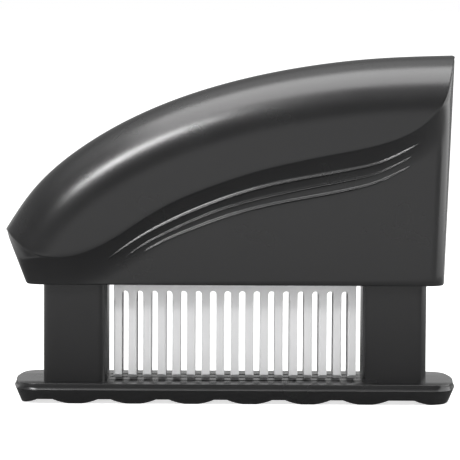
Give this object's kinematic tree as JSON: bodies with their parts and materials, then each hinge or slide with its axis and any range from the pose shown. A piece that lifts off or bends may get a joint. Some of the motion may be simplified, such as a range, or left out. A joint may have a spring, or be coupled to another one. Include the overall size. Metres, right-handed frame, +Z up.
{
  "type": "blade meat tenderizer",
  "caption": "Spring-loaded hand meat tenderizer: a moulded grip cover with rows of steel blade combs slides down columns on a slotted base with a scalloped underside.",
  "frame": {"origin": "on the surface that the tool stands on, under the middle of its overall length and depth", "axes": "+X towards the tall end of the cover, +Y from the front to the back, +Z up"},
  "size_m": [0.147, 0.0382, 0.1126],
  "materials": {
    "black_plastic": "fine matte moulded grain",
    "blade_steel": "stamped stainless strip, ground edges",
    "fastener_steel": "turned stainless steel",
    "spring_steel": "drawn spring wire",
    "brass": "knurled brass",
    "white_acetal": "smooth bearing plastic"
  },
  "bodies": {
    "base": {"base_plate": "black_plastic", "column_left": "black_plastic", "column_right": "black_plastic", "column_screws": "fastener_steel", "guide_bushings": "white_acetal", "spring_left": "spring_steel", "spring_right": "spring_steel"},
    "handle": {"handle_cover": "black_plastic", "comb_spacer_front": "black_plastic", "comb_spacer_rear": "black_plastic", "clamp_plate_front": "black_plastic", "clamp_plate_rear": "black_plastic", "blade_comb_front": "blade_steel", "blade_comb_middle": "blade_steel", "blade_comb_rear": "blade_steel", "clamp_bolts": "fastener_steel", "clamp_nuts": "fastener_steel", "hanger_screws": "fastener_steel", "guide_rod_left": "fastener_steel", "guide_rod_right": "fastener_steel", "stop_washers": "fastener_steel", "stop_screws": "fastener_steel", "spring_seats": "fastener_steel", "threaded_inserts": "brass"}
  },
  "joints": [
    {"name": "press", "type": "slide", "parent": "base", "child": "handle", "axis": [0, 0, -1], "range_m": [0, 0.022], "stiffness_N_per_m": 2000, "springref_m": -0.008, "deforming": ["spring_left", "spring_right"]}
  ]
}
